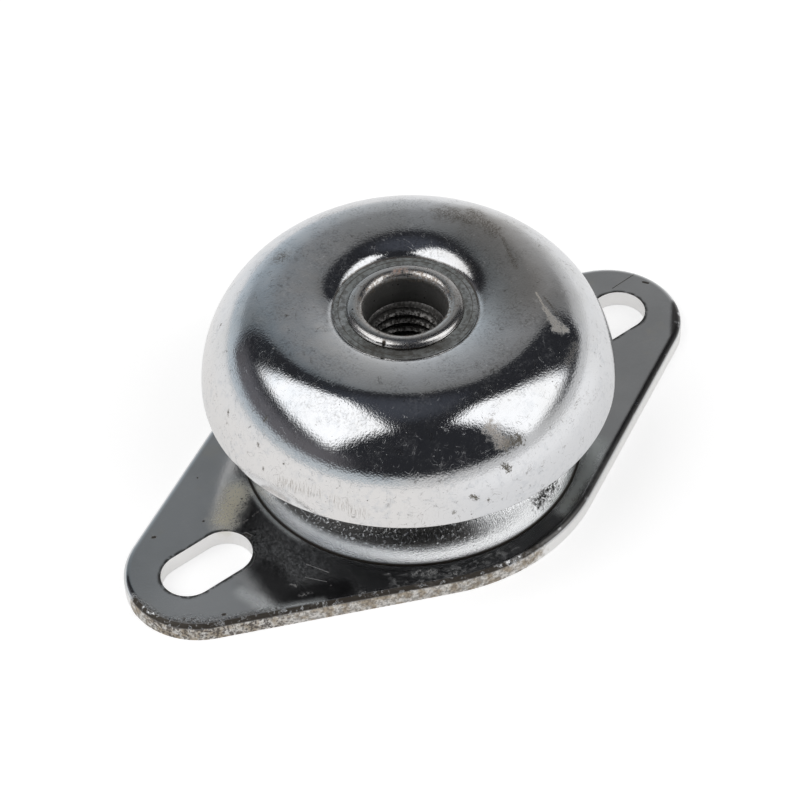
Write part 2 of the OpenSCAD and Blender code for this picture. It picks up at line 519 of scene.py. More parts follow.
boss_ring = boss_section()
boss_edge = boss_ring[0][0]
only()
drum(boss_edge, -sheet, 2 * sheet)
cut_out(blank, bpy.context.object)
mode("EDIT")
edit("select_mode", type="FACE")
mesh = bmesh.from_edit_mesh(blank.data)
for face in mesh.faces:
    face.select = all(abs(v.co.xy.length - boss_edge) < skin for v in face.verts)
bmesh.update_edit_mesh(blank.data)
edit("delete", type="FACE")
mode("OBJECT")
boss = turned("boss", boss_ring, closed=False)
only(boss, blank)
bpy.ops.object.join()
flange = blank
mode("EDIT")
edit_all("remove_doubles", threshold=skin)
edit("normals_make_consistent", inside=False)
mode("OBJECT")


def smoothed(piece, angle=30):
    """Smooth shading that keeps flats flat and corners crisp."""
    only(piece)
    bpy.ops.object.shade_smooth_by_angle(angle=math.radians(angle))
    piece.modifiers.new("flats", "WEIGHTED_NORMAL").keep_sharp = True
    bpy.ops.object.modifier_apply(modifier="flats")


smoothed(flange)


def node_group(name, vectors, numbers, output):
    """An empty shader group: its inputs by name and the function that ends it."""
    tree = bpy.data.node_groups.new(name, "ShaderNodeTree")
    for kind, sockets in (("Vector", vectors), ("Float", numbers)):
        for socket in sockets:
            tree.interface.new_socket(socket, in_out="INPUT", socket_type="NodeSocket" + kind)
    tree.interface.new_socket(output, in_out="OUTPUT", socket_type="NodeSocketFloat")
    add = adder(tree)
    given = {s.name: Value(add, s) for s in tree.nodes.new("NodeGroupInput").outputs}
    result = tree.nodes.new("NodeGroupOutput").inputs[0]

    def finish_group(value):
        tree.links.new(value.socket, result)
        return tree

    return given, finish_group


def mark_group():
    """A scratch, stain or chip between two ends. Its outline is as ragged and soft as asked."""
    numbers = ("Half Width", "Ragged", "Soft")
    given, finish_group = node_group("placed_mark", ("Place", "From", "To"), numbers, "Mask")
    along = vector("SUBTRACT", given["To"], given["From"])
    off = vector("SUBTRACT", given["Place"], given["From"])
    share = dot(off, along) / dot(along, along)
    share = calc("MAXIMUM", calc("MINIMUM", share, 1.0), 0.0)
    off = vector("SUBTRACT", off, scaled(along, share))
    distance = vector("LENGTH", off) / given["Half Width"]
    waves = noise(given["Place"], 1.5 / given["Half Width"], Detail=3.0, Roughness=0.65)
    distance = (waves * 4.0 - 2.0) * given["Ragged"] + distance
    return finish_group(fade(distance, given["Soft"] + 1.0, 1.0 - given["Soft"]))


def speckle_group():
    """Scattered specks: their spacing, their size and the share of the spaces that hold one."""
    given, finish_group = node_group("speckle", ("Place",), ("Spacing", "Size", "Share"), "Mask")
    place = given["Place"]
    distance = place.add("TexVoronoi", {"Vector": place, "Scale": 1.0 / given["Spacing"]})
    chance = place.add("SeparateColor", {0: distance.other("Color")})
    size = (chance.other(1) * 0.7 + 0.3) * given["Size"] / given["Spacing"]
    speck = fade(distance, size, size * 0.5)
    return finish_group(speck * calc("LESS_THAN", chance, given["Share"]))


def cloud_group():
    """Uneven patches of a size. Low and High set how much they cover and how sharp they are."""
    given, finish_group = node_group("clouds", ("Place",), ("Size", "Low", "High"), "Mask")
    waves = noise(given["Place"], 1.0 / given["Size"], Detail=4.0, Roughness=0.6)
    return finish_group(fade(waves, given["Low"], given["High"]))


def grain_group():
    """Height in micrometres of a polished or pressed skin: slow ripples and a fine grain."""
    given, finish_group = node_group("skin_grain", ("Place",), ("Ripple", "Grain"), "Height")
    ripple = noise(given["Place"], 260.0, Detail=1.0)
    grain = noise(given["Place"], 3400.0, Detail=2.0)
    return finish_group(grain * given["Grain"] + ripple * given["Ripple"])


def drawn_group():
    """Fine lines that drawing or turning leaves. On a wall they run up it, as long as Length."""
    numbers = ("Radius", "Width", "Length", "Low", "High")
    given, finish_group = node_group("drawn_lines", ("Place",), numbers, "Mask")
    around = scaled(level_of(given["Place"]), given["Radius"] / given["Width"])
    upward = around.add("CombineXYZ", {"Z": z_of(given["Place"]) / given["Length"]})
    place = vector("ADD", around, upward)
    lines = noise(place, 1.0, Detail=2.0, Roughness=0.6)
    return finish_group(fade(lines, given["Low"], given["High"]))


placed_mark = mark_group()
speckle = speckle_group()
clouds = cloud_group()
skin_grain = grain_group()
drawn_lines = drawn_group()


# Masks and heights from the groups. Their sizes are in mm, but drawn's radius is in metres.
def cloudy(place, size, low, high):
    inputs = {"Place": place, "Size": size * MM, "Low": low, "High": high}
    return place.add("Group", inputs, node_tree=clouds)


def speckled(place, spacing, size, share):
    inputs = {"Place": place, "Spacing": spacing * MM, "Size": size * MM, "Share": share}
    return place.add("Group", inputs, node_tree=speckle)


def grained(place, ripple, grain):
    inputs = {"Place": place, "Ripple": ripple, "Grain": grain}
    return place.add("Group", inputs, node_tree=skin_grain)


def drawn(place, radius, width, length, low, high):
    sizes = {"Radius": radius, "Width": width * MM, "Length": length * MM}
    inputs = {"Place": place, **sizes, "Low": low, "High": high}
    return place.add("Group", inputs, node_tree=drawn_lines)


def marked(place, *rows):
    """Mask of the marks in rows: two ends and a half width, in mm, then Ragged and Soft."""
    total = 0.0
    for start, stop, half_width, ragged, soft in rows:
        ends = {"From": Vector(start) * MM, "To": Vector(stop) * MM, "Half Width": half_width * MM}
        inputs = {"Place": place, **ends, "Ragged": ragged, "Soft": soft}
        total = calc("MAXIMUM", place.add("Group", inputs, node_tree=placed_mark), total)
    return total


def marked_flat(place, *rows):
    """Mask of marks on the plate's flat. Their rows start with x and y of both ends."""
    z = sheet / MM
    return marked(place, *(((a, b, z), (c, d, z), *rest) for a, b, c, d, *rest in rows))


def chain(path, half_width, ragged, soft):
    """Rows of marks from each point of a path to the next."""
    return [(a, b, half_width, ragged, soft) for a, b in zip(path, path[1:])]


class Finish:
    """A material in the making: one finish after the other goes over it."""

    def __init__(self, name, colour, roughness, metallic=1.0):
        self.material = bpy.data.materials.new(name)
        self.place = emptied(self.material)("TexCoord", output="Object")
        self.inputs = {"Base Color": colour, "Roughness": roughness, "Metallic": metallic}

    def cover(self, mask, colour, roughness=None, metallic=None):
        """Puts another finish where the mask is 1."""
        self.inputs["Base Color"] = blended(mask, self.inputs["Base Color"], colour)
        for key, value in (("Roughness", roughness), ("Metallic", metallic)):
            if value is not None:
                mix = {"Factor": mask, "A": self.inputs[key], "B": value}
                self.inputs[key] = mask.add("Mix", mix)

    def done(self, height):
        """The material, with a skin of a height in micrometres."""
        normal = height.add("Bump", {"Height": height, "Distance": 1e-6, "Strength": 1.0})
        surface = height.add("BsdfPrincipled", {**self.inputs, "Normal": normal})
        height.add("OutputMaterial", {"Surface": surface})
        return self.material


def dress(piece, material):
    """Makes this the piece's only material."""
    piece.data.materials.clear()
    piece.data.materials.append(material)


def flange_material():
    """Zinc plate gone satin. Its boss is grained by the draw, its sheared walls are matt, and dirt
    and rust sit along the near edge."""
    zinc = (0.66, 0.67, 0.68, 1)
    zinc_dull = (0.59, 0.60, 0.61, 1)
    zinc_warm = (0.66, 0.65, 0.61, 1)
    zinc_clean = (0.93, 0.92, 0.91, 1)
    burnished = (0.94, 0.95, 0.96, 1)
    # The dust colour here is used only for the painted beige reflection on the flat
    dust = (0.66, 0.60, 0.43, 1)
    blue_dust = (0.42, 0.48, 0.60, 1)
    grey_dust = (0.40, 0.39, 0.37, 1)
    painted_pale_reflection = (0.62, 0.68, 0.68, 1)
    handled = (0.72, 0.73, 0.74, 1)
    smudge_black = (0.015, 0.014, 0.013, 1)
    painted_dark_reflection = (0.12, 0.12, 0.13, 1)
    painted_green_reflection = (0.50, 0.57, 0.53, 1)
    # soot is also the colour of the painted shade under the cap and in the crease at the boss's
    # foot
    soot = (0.04, 0.035, 0.03, 1)

    finish = Finish("zinc_flange", zinc, 0.11)
    place = finish.place
    upright = z_of(place.other("Normal"))
    radius = radius_of(place)
    finish.cover(cloudy(place, 14, 0.4, 0.7), zinc_dull, 0.14)
    finish.cover(cloudy(place, 5, 0.55, 0.8), zinc_warm)
    on_boss = fade(radius, foot_x + 0.2 * MM, foot_x - 0.3 * MM)
    off_boss = 1.0 - on_boss
    finish.cover(on_boss, burnished, 0.1)
    worn_ear = marked_flat(place, (-47.5, -5.0, -37.0, -9.5, 6.0, 0.1, 0.9))
    finish.cover(worn_ear, handled, 0.2, 0.95)
    sheared = fade(abs(upright), 0.4, 0.15)
    finish.cover(sheared * off_boss, zinc_clean, 0.35)

    # Painted shade on the boss under the cap, on its near left side, and pits all over the boss
    near_left = (-0.848, -0.530, 0)
    shadowed = dot(vector("NORMALIZE", place), near_left)
    painted_shade_under_cap = on_boss * fade(shadowed, 0.62, 0.78) * fade(upright, 0.44, 0.56)
    painted_shade_under_cap *= cloudy(place, 0.45, 0.34, 0.46)
    finish.cover(painted_shade_under_cap * 0.9, soot, 0.3)
    smudge = marked(place, ((5.0, -25.0, 5.5), (8.8, -24.1, 5.6), 1.1, 1.2, 0.9))
    smudge *= cloudy(place, 0.35, 0.34, 0.5)
    finish.cover(smudge, smudge_black, 0.2)
    pits = speckled(place, 1.6, 0.22, 0.25) * on_boss
    finish.cover(pits, soot, 0.5, 0.6)

    # Haze, specks and scuffs on the flat, and painted reflections on it, dark and pale
    fine = cloudy(place, 0.5, 0.4, 0.8)
    haze = cloudy(place, 3, 0.45, 0.75) * fine
    finish.cover(haze * 0.10, grey_dust, 0.3, 0.0)
    bluish = marked_flat(place, (-31.0, -3.5, -29.0, -9.0, 4.5, 0.35, 0.9))
    bluish *= cloudy(place, 0.35, 0.4, 0.7)
    finish.cover(bluish * 0.14, blue_dust, 0.4, 0.0)
    # Painted reflection: a dark band on the flat on the near left, between the boss and the left
    # ear
    painted_dark_band = marked_flat(
        place,
        (-33.9, -7.0, -35.1, -13.0, 2.3, 0.15, 0.5),
        (-33.6, -13.6, -27.5, -17.4, 1.8, 0.15, 0.6),
    )
    finish.cover(painted_dark_band * 0.75, painted_dark_reflection, 0.14)
    # Painted reflections: pale fringes on the flat beside the dark band, and beside the boss on the
    # far left
    painted_pale_fringes = marked_flat(
        place,
        (-39.6, -8.4, -38.4, -13.2, 1.1, 0.35, 0.9),
        (-38.4, -13.6, -31.5, -17.4, 0.7, 0.35, 0.9),
        (-28.0, 8.5, -26.6, 10.8, 1.5, 0.35, 0.9),
    )
    finish.cover(painted_pale_fringes * 0.3, painted_pale_reflection, 0.4, 0.2)
    # Painted reflection: a pale strip on the flat along the boss's foot on the left
    glowing = marked_flat(place, (-27.2, 6.5, -28.0, -4.0, 2.5, 0.3, 0.9))
    glowing *= fade(radius, foot_x + 1.1 * MM, foot_x + 0.3 * MM) * off_boss
    finish.cover(glowing * 0.45, painted_pale_reflection, 0.4, 0.2)
    # Painted reflection: a pale greenish strip on the flat in front of the boss on the right
    greenish = marked_flat(
        place,
        (21.0, -20.2, 15.4, -23.8, 1.7, 0.3, 0.9),
        (15.4, -23.8, 8.0, -27.0, 1.1, 0.3, 0.9),
    )
    finish.cover(greenish * 0.4, painted_green_reflection, 0.4, 0.2)
    # Painted reflection: a beige patch on the flat beside the boss on the far left
    painted_beige_patch = marked_flat(place, (-28.2, 8.6, -32.8, 5.4, 1.9, 0.3, 0.9))
    painted_beige_patch *= cloudy(place, 0.3, 0.3, 0.5)
    finish.cover(painted_beige_patch * 0.7, dust, 0.5, 0.2)
    finish.cover(speckled(place, 2.6, 0.28, 0.16), soot, 0.6, 0.3)
    scuffs = marked_flat(
        place,
        (-33.4, -14.4, -31.8, -15.0, 0.35, 0.5, 0.6),
        (-33.2, -11.6, -32.6, -12.6, 0.25, 0.5, 0.6),
        (-17.3, -22.2, -15.2, -23.7, 0.6, 0.5, 0.5),
        (-26.0, -20.0, -25.2, -21.2, 0.4, 0.5, 0.6),
        (-20.9, -19.5, -20.5, -19.8, 0.25, 0.5, 0.6),
        (-12.9, -25.2, -12.4, -27.2, 0.4, 0.6, 0.6),
    )
    finish.cover(scuffs * fine * 0.9, grey_dust, 0.5, 0.3)
    scratches = marked(
        place,
        ((-28.8, -10.0, 3), (-27.2, -13.6, 3), 0.05, 0.6, 0.6),
        ((-30.5, -12.0, 3), (-28.6, -14.8, 3), 0.04, 0.6, 0.6),
        ((-26.7, 3.4, 3.2), (-25.5, 2.6, 5.2), 0.1, 0.4, 0.4),
    )
    finish.cover(scratches * 0.7, zinc_clean, 0.5, 0.7)
    chips = marked_flat(
        place,
        (-43.4, 9.7, -43.2, 9.6, 0.3, 0.5, 0.4),
        (-35.5, 7.3, -35.5, 7.3, 0.2, 0.5, 0.4),
        (-44.4, -9.8, -44.2, -9.9, 0.3, 0.5, 0.4),
        (-47.3, -9.8, -46.9, -10.1, 0.25, 0.5, 0.4),
        (-32.1, 0.9, -31.9, 0.2, 0.3, 0.6, 0.4),
        (51.6, 1.7, 51.2, 2.4, 0.25, 0.5, 0.4),
        (52.2, 4.3, 51.8, 4.9, 0.2, 0.5, 0.4),
        (46.4, 4.6, 51.2, 4.75, 0.08, 0.4, 0.4),
    )
    dotted = marked_flat(place, (-33.4, 2.8, -27.1, 3.4, 0.12, 0.3, 0.4))
    dotted *= speckled(place, 0.45, 0.4, 0.8)
    finish.cover(calc("MAXIMUM", chips, dotted), soot, 0.6, 0.2)

    # Black lines: painted shade in the crease at the boss's foot, and dark rims along the slots'
    # tops
    painted_crease_shade = abs(radius - (foot_x - 0.1 * MM))
    painted_crease_shade = fade(painted_crease_shade, 0.32 * MM, 0.12 * MM) * fade(upright, -0.1, 0.1)
    dark_slot_rims = marked_flat(
        place,
        (-43.6, 0, -36.9, 0, 4.75, 0.05, 0.05),
        (36.9, 0, 43.6, 0, 4.75, 0.05, 0.05),
    )
    dark_slot_rims *= fade(upright, 0.3, 0.5) * cloudy(place, 0.9, 0.32, 0.5)
    finish.cover(calc("MAXIMUM", painted_crease_shade, dark_slot_rims * 0.85), soot, 0.5)

    # Dirt and rust on the near wall and the roll above it, from the ear's nose past the middle
    tan = (0.47, 0.39, 0.29, 1)
    brown = (0.05, 0.032, 0.018, 1)
    pale = (0.88, 0.85, 0.81, 1)
    black_crust = (0.05, 0.036, 0.022, 1)
    near_path = (
        (-53.2, 0.5, 1.5),
        (-52.2, -4.9, 1.5),
        (-49.9, -8.3, 1.5),
        (-46.6, -10.7, 1.5),
        (-13.7, -27.3, 1.5),
        (-7.0, -29.7, 1.5),
    )
    fading = ((-7.0, -29.7, 1.5), (-1.0, -30.4, 1.5), 1.7, 1.2, 0.9)
    near = marked(place, *chain(near_path, 2.0, 0.1, 0.12), fading)
    rusty = marked(place, ((-52.0, -5.5, 1.5), (-40.0, -13.0, 1.5), 3.4, 0.5, 0.6))
    grime = blended(cloudy(place, 1.5, 0.4, 0.6), pale, tan)
    flecks = cloudy(place, 0.5, 0.44, 0.58)
    flecks *= rusty * 0.4 + 0.55
    grime = blended(flecks, grime, brown)
    wall_dirt = near * fade(upright, 0.6, 0.3)
    finish.cover(wall_dirt * 0.92, grime, 0.6, 0.05)
    off_wall = fade(upright, 0.3, 0.55)
    roll_dirt = near * off_wall * fade(upright, 0.995, 0.9) * cloudy(place, 0.8, 0.32, 0.46)
    nose = marked_flat(
        place,
        (-52.8, 2.0, -51.6, -5.3, 0.6, 1.0, 0.9),
        (-51.6, -5.3, -46.3, -10.1, 0.8, 1.0, 0.9),
        (-46.3, -10.1, -37.0, -14.5, 0.6, 1.0, 0.9),
    )
    nose *= cloudy(place, 0.4, 0.44, 0.54) * off_wall
    roll_dirt = calc("MAXIMUM", roll_dirt, nose * 0.8)
    finish.cover(roll_dirt * 0.92, black_crust, 0.6, 0.9)
    right_path = (
        (-1.0, -30.4, 2.9),
        (7.0, -29.7, 2.9),
        (13.7, -27.3, 2.9),
        (46.6, -10.7, 2.9),
        (52.2, -4.9, 2.9),
    )
    right_roll = marked(place, *chain(right_path, 1.0, 0.1, 0.4))
    right_roll *= fade(upright, 0.4, 0.6) * cloudy(place, 1.5, 0.25, 0.42)
    finish.cover(right_roll * 0.85, soot, 0.35)
    strip = marked_flat(
        place,
        (-20.5, -21.8, -13.5, -25.6, 1.1, 0.5, 0.6),
        (-13.5, -25.6, -3.0, -28.4, 1.0, 0.5, 0.6),
    )
    strip *= cloudy(place, 0.9, 0.46, 0.6)
    finish.cover(strip * 0.24, grey_dust, 0.5, 0.25)

    grain = grained(place, 9.0, 9.0)
    grain += drawn(place, foot_x, 0.16, 1.2, 0.3, 0.7) * on_boss * 20.0
    grain += cloudy(place, 0.3, 0.2, 0.8) * on_boss * 24.0
    grain += flecks * wall_dirt * 40.0
    grain += roll_dirt * 40.0
    return finish.done(grain)


dress(flange, flange_material())
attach(flange, "flange")
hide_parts("base_plate")

# Bell cap. One drawn sheet, polished and zinc plated: a round crown down to a plain rim,
# with a dimple rolled into its top and a flat seat coined there for the bush.
cap_low, cap_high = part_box("bell_cap")
cap_sheet = 2.0 * MM
rim_r = cap_high.x
rim_z = cap_low.z
crest_z = cap_high.z
crest_r = 19.2 * MM
seat_r = 11.0 * MM
seat_depth = 2.0 * MM
seat_z = crest_z - seat_depth
rim_edge = cap_sheet / 4
crown_fullness = 1.9
dimple_slope = math.radians(50)
neck_r = 8.2 * MM


def quarter(centre, size, fullness, side, start, stop, steps):
    """Points on a quarter of a superellipse that falls outwards (side 1) or inwards (side -1)."""
    points = []
    for i in range(steps + 1):
        a = math.radians(start + (stop - start) * i / steps)
        across = size[0] * max(math.cos(a), 0.0) ** (2 / fullness)
        up = size[1] * max(math.sin(a), 0.0) ** (2 / fullness)
        points.append((centre[0] + side * across, centre[1] + up))
    return points


def crown(depth, start, stop, steps):
    """Curve of the crown, at a depth below its outer skin."""
    size = (rim_r - crest_r - depth, crest_z - rim_z - rim_edge - depth)
    return quarter((crest_r, rim_z + rim_edge), size, crown_fullness, 1, start, stop, steps)


def bend(start, between, stop, steps):
    """Points on a curve from start, after it, to stop, which leaves start towards between."""
    corners = (start, between, stop)
    points = []
    for i in range(1, steps + 1):
        t = i / steps
        weights = ((1 - t) ** 2, 2 * t * (1 - t), t * t)
        points.append(tuple(sum(w * p[k] for w, p in zip(weights, corners)) for k in (0, 1)))
    return points


def dimple(depth, steps):
    """Curve from the crest down to the coined seat, at a depth below the outer skin."""
    edge_r = seat_r + depth * math.tan(dimple_slope / 2)
    crest = (crest_r, crest_z - depth)
    between = (edge_r + (crest_z - seat_z) / math.tan(dimple_slope), crest[1])
    return bend(crest, between, (edge_r, seat_z - depth), steps)


cap_section = [
    *crown(0.0, 0, 90, 60),
    *dimple(0.0, 40),
    (neck_r, seat_z),
    (neck_r, seat_z - cap_sheet),
    *dimple(cap_sheet, 16)[::-1],
    *crown(cap_sheet, 90, 0, 30),
    *arc((rim_r - cap_sheet + rim_edge, rim_z + rim_edge), rim_edge, 190, 270, 5),
    *arc((rim_r - rim_edge, rim_z + rim_edge), rim_edge, 270, 350, 5),
]
cap = turned("bell_cap_shell", cap_section)
smoothed(cap, 40)


def cap_material():
    """Polished zinc plate: fine drawn lines and specks on the wall, dust and dirt smears on top."""
    polished = (0.75, 0.76, 0.78, 1)
    duller = (0.71, 0.715, 0.72, 1)
    painted_lit_wall = (0.78, 0.765, 0.755, 1)
    painted_dim_wall = (0.72, 0.725, 0.74, 1)
    blue_film = (0.62, 0.68, 0.74, 1)
    brown_film = (0.46, 0.44, 0.42, 1)
    coined_zinc = (0.56, 0.58, 0.57, 1)
    pitted = (0.14, 0.12, 0.10, 1)
    dust = (0.5, 0.5, 0.5, 1)
    dirt = (0.26, 0.22, 0.17, 1)
    smear = (0.16, 0.14, 0.12, 1)
    tarnished = (0.58, 0.60, 0.63, 1)
    line_dirt = (0.4, 0.39, 0.37, 1)
    dried_dirt = (0.44, 0.40, 0.34, 1)
    blot_brown = (0.10, 0.085, 0.06, 1)
    mud = (0.42, 0.38, 0.34, 1)
    bright_rub = (0.86, 0.88, 0.9, 1)
    adhesive = (0.025, 0.025, 0.027, 1)

    finish = Finish("zinc_cap", polished, 0.06)
    place = finish.place
    z = z_of(place)
    radius = radius_of(place)
    finish.cover(cloudy(place, 9, 0.4, 0.7), duller, 0.09)
    on_wall = fade(z, rim_z + 13 * MM, rim_z + 6 * MM)
    # Painted light: the wall is lighter and warmer on its left side, darker and cooler on its right
    leftward = (-0.8, 0.6, 0)
    painted_light_share = fade(dot(place, leftward), -0.4 * rim_r, 0.1 * rim_r)
    finish.cover(on_wall, blended(painted_light_share, painted_dim_wall, painted_lit_wall))
    tarnish = cloudy(place, 1.1, 0.48, 0.62) * cloudy(place, 5, 0.4, 0.6)
    finish.cover(tarnish * 0.4, tarnished, 0.16)
    patchy = cloudy(place, 2.5, 0.3, 0.7)
    left_top = marked(place, ((-8.0, 19.0, 33.5), (-20.0, 2.0, 33.5), 8.0, 0.2, 0.9))
    finish.cover(left_top * patchy * 0.6, blue_film, 0.16)
    right_top = marked(place, ((18.5, 3.5, 33.8), (14.5, -10.5, 33.8), 5.5, 0.2, 0.9))
    finish.cover(right_top * 0.9, brown_film, 0.16)

    lines = drawn(place, rim_r, 0.12, 2.4, 0.62, 0.75)
    lines *= cloudy(place, 4, 0.45, 0.6) * on_wall
    finish.cover(lines * 0.35, line_dirt, 0.3)
    haze = cloudy(place, 4, 0.4, 0.75) * cloudy(place, 0.45, 0.42, 0.75)
    finish.cover(haze * 0.10, dust, 0.3, 0.0)
    on_top = fade(z, crest_z - 4 * MM, crest_z - 1 * MM)
    mottled = cloudy(place, 5, 0.4, 0.6) * cloudy(place, 0.35, 0.46, 0.66) * on_top
    finish.cover(mottled * 0.35, pitted, 0.2)
    specks = calc("MAXIMUM", speckled(place, 2.4, 0.22, 0.2), speckled(place, 0.8, 0.1, 0.25))
    finish.cover(specks * 0.7, pitted, 0.5, 0.5)
    hairs = abs(noise(place, 330.0, Detail=2.0, Distortion=1.5) - 0.5)
    hairs = fade(hairs, 0.012, 0.003) * cloudy(place, 1.5, 0.5, 0.62)
    finish.cover(hairs * 0.3, dust, 0.4, 0.4)
    scored = abs(noise(place, 520.0, Detail=3.0, Distortion=0.8) - 0.46)
    scored = fade(scored, 0.014, 0.004) * cloudy(place, 2.2, 0.5, 0.62)
    finish.cover(scored * 0.5, pitted, 0.3)
    motes = speckled(place, 0.9, 0.11, 0.35)
    finish.cover(motes * 0.35, dust, 0.5, 0.0)

    # The adhesive that bonds the rubber blackens the inner skin
    outward = place.other("Normal")
    upright = z_of(outward)
    level = level_of(place)
    inward = fade(dot(outward, level), 0.0, -0.3)
    inner = inward * fade(upright, 0.5, 0.3)
    inner = calc("MAXIMUM", inner, fade(upright, -0.3, -0.6))
    inner *= fade(z, rim_z + 0.3 * MM, rim_z + 1.0 * MM)
    finish.cover(inner, adhesive, 0.5, 0.0)

    streak = marked(
        place,
        ((15.7, -12.1, 33.8), (14.6, -15.4, 33.5), 0.16, 0.5, 0.5),
        ((14.6, -15.4, 33.5), (14.2, -17.6, 33.1), 0.45, 0.5, 0.5),
        ((14.2, -17.6, 33.1), (14.3, -19.4, 32.3), 0.8, 0.6, 0.5),
        ((13.4, -19.2, 32.7), (15.0, -19.5, 31.9), 0.6, 0.8, 0.5),
    )
    streak *= cloudy(place, 0.35, 0.25, 0.5)
    finish.cover(streak * 0.6, dried_dirt, 0.5, 0.2)
    smears = marked(
        place,
        ((20.2, 3.9, 33.6), (19.6, 0.3, 33.8), 0.16, 0.5, 0.6),
        ((19.6, 0.3, 33.8), (17.6, -4.4, 33.8), 0.28, 0.6, 0.7),
        ((17.6, -4.4, 33.8), (17.0, -5.8, 33.8), 0.45, 0.6, 0.8),
        ((20.4, 8.4, 33.5), (19.6, 2.4, 33.8), 1.1, 0.9, 0.7),
        ((16.5, 11.0, 33.8), (18.5, 7.0, 33.8), 1.5, 0.9, 0.9),
        ((-8.9, 19.6, 33.5), (-8.3, 19.9, 33.5), 1.0, 0.6, 0.9),
        ((16.1, -13.4, 33.7), (15.6, -18.4, 32.7), 0.2, 0.7, 0.5),
        ((11.8, -23.9, 30.5), (14.9, -22.0, 30.6), 0.7, 0.9, 0.6),
    )
    smears *= cloudy(place, 0.25, 0.36, 0.58)
    finish.cover(smears * 0.8, smear, 0.35, 0.85)
    blots = marked(
        place,
        ((-5.7, -29.9, 25.1), (-5.2, -30.3, 24.2), 0.42, 1.8, 0.5),
        ((-4.4, -28.6, 27.7), (-2.4, -29.0, 27.6), 0.8, 1.6, 0.6),
        ((-11.5, -29.3, 22.0), (-10.9, -29.6, 21.5), 0.3, 1.8, 0.5),
        ((-30.4, -2.5, 24.8), (-30.3, -2.9, 24.3), 0.2, 1.8, 0.5),
        ((-29.9, 5.6, 25.2), (-30.0, 5.4, 24.6), 0.2, 1.8, 0.5),
        ((-31.2, -4.5, 21.8), (-31.2, -4.5, 21.5), 0.16, 1.8, 0.5),
        ((-29.7, -7.8, 24.4), (-29.7, -7.8, 24.3), 0.14, 1.8, 0.5),
        ((-28.2, -2.1, 28.6), (-28.6, -2.0, 28.1), 0.18, 1.8, 0.5),
        ((-15.8, 8.7, 33.8), (-15.8, 8.7, 33.8), 0.2, 1.8, 0.5),
        ((-21.7, 18.0, 28.7), (-21.7, 18.0, 28.7), 0.22, 1.8, 0.5),
        ((-10.0, 5.2, 31.9), (-10.0, 5.2, 31.9), 0.2, 1.8, 0.5),
        ((-14.3, -28.5, 20.0), (-14.3, -28.5, 19.8), 0.22, 1.8, 0.5),
        ((-9.3, -30.4, 20.6), (-9.3, -30.4, 20.4), 0.2, 1.8, 0.5),
    )
    blots *= cloudy(place, 0.3, 0.25, 0.5)
    finish.cover(blots * 0.9, blot_brown, 0.5, 0.9)
    muddy = marked(place, ((-5.4, -26.4, 30.2), (-4.9, -28.2, 28.2), 1.0, 0.9, 0.6))
    muddy *= cloudy(place, 0.3, 0.25, 0.55)
    finish.cover(muddy * 0.85, mud, 0.4, 0.6)
    rubbed = marked(
        place,
        ((-27.3, -16.2, 21.5), (-24.7, -19.8, 20.0), 0.9, 0.5, 0.8),
        ((-28.5, -13.6, 22.0), (-30.8, -7.5, 21.2), 0.9, 0.6, 0.8),
    )
    rubbed *= drawn(place, rim_r, 0.10, 1.5, 0.5, 0.62)
    finish.cover(rubbed * 0.5, dirt, 0.5, 0.6)
    on_seat = fade(z, seat_z - 0.5 * MM, seat_z - 0.1 * MM)
    coined = fade(radius, seat_r, seat_r - 0.2 * MM) * on_seat
    finish.cover(coined, coined_zinc, 0.14)
    shaded_seat = marked(
        place,
        ((-9.2, -3.0, 31.8), (-6.6, -7.2, 31.8), 1.4, 0.5, 0.8),
        ((-6.6, -7.2, 31.8), (-0.6, -9.7, 31.8), 1.4, 0.5, 0.8),
    )
    finish.cover(shaded_seat * coined * 0.55, pitted, 0.25, 1.0)
    rubbed_seat = marked(
        place,
        ((-9.8, 3.5, 31.8), (-5.0, 9.0, 31.8), 0.9, 0.7, 0.8),
        ((10.3, -2.5, 31.8), (8.0, -7.2, 31.8), 0.8, 0.7, 0.8),
    )
    rubbed_seat *= coined * cloudy(place, 0.5, 0.35, 0.6)
    finish.cover(rubbed_seat * 0.7, bright_rub, 0.25)
    for ring_r, width, depth in ((seat_r, 0.24, 0.85), (seat_r - 0.8 * MM, 0.14, 0.8)):
        ring = fade(abs(radius - ring_r), width * MM, width / 5 * MM)
        ring *= on_seat * cloudy(place, 3, 0.3, 0.55)
        finish.cover(ring * depth, pitted, 0.4, 0.9)
    seat_stains = coined * cloudy(place, 0.7, 0.42, 0.62)
    finish.cover(seat_stains * 0.55, pitted, 0.3)

    grain = grained(place, 14.0, 16.0)
    grain += lines * -1.5
    grain += specks * -4.0
    grain += hairs * -3.0
    grain += streak * 12.0
    return finish.done(grain)


dress(cap, cap_material())
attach(cap, "cap")
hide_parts("bell_cap")

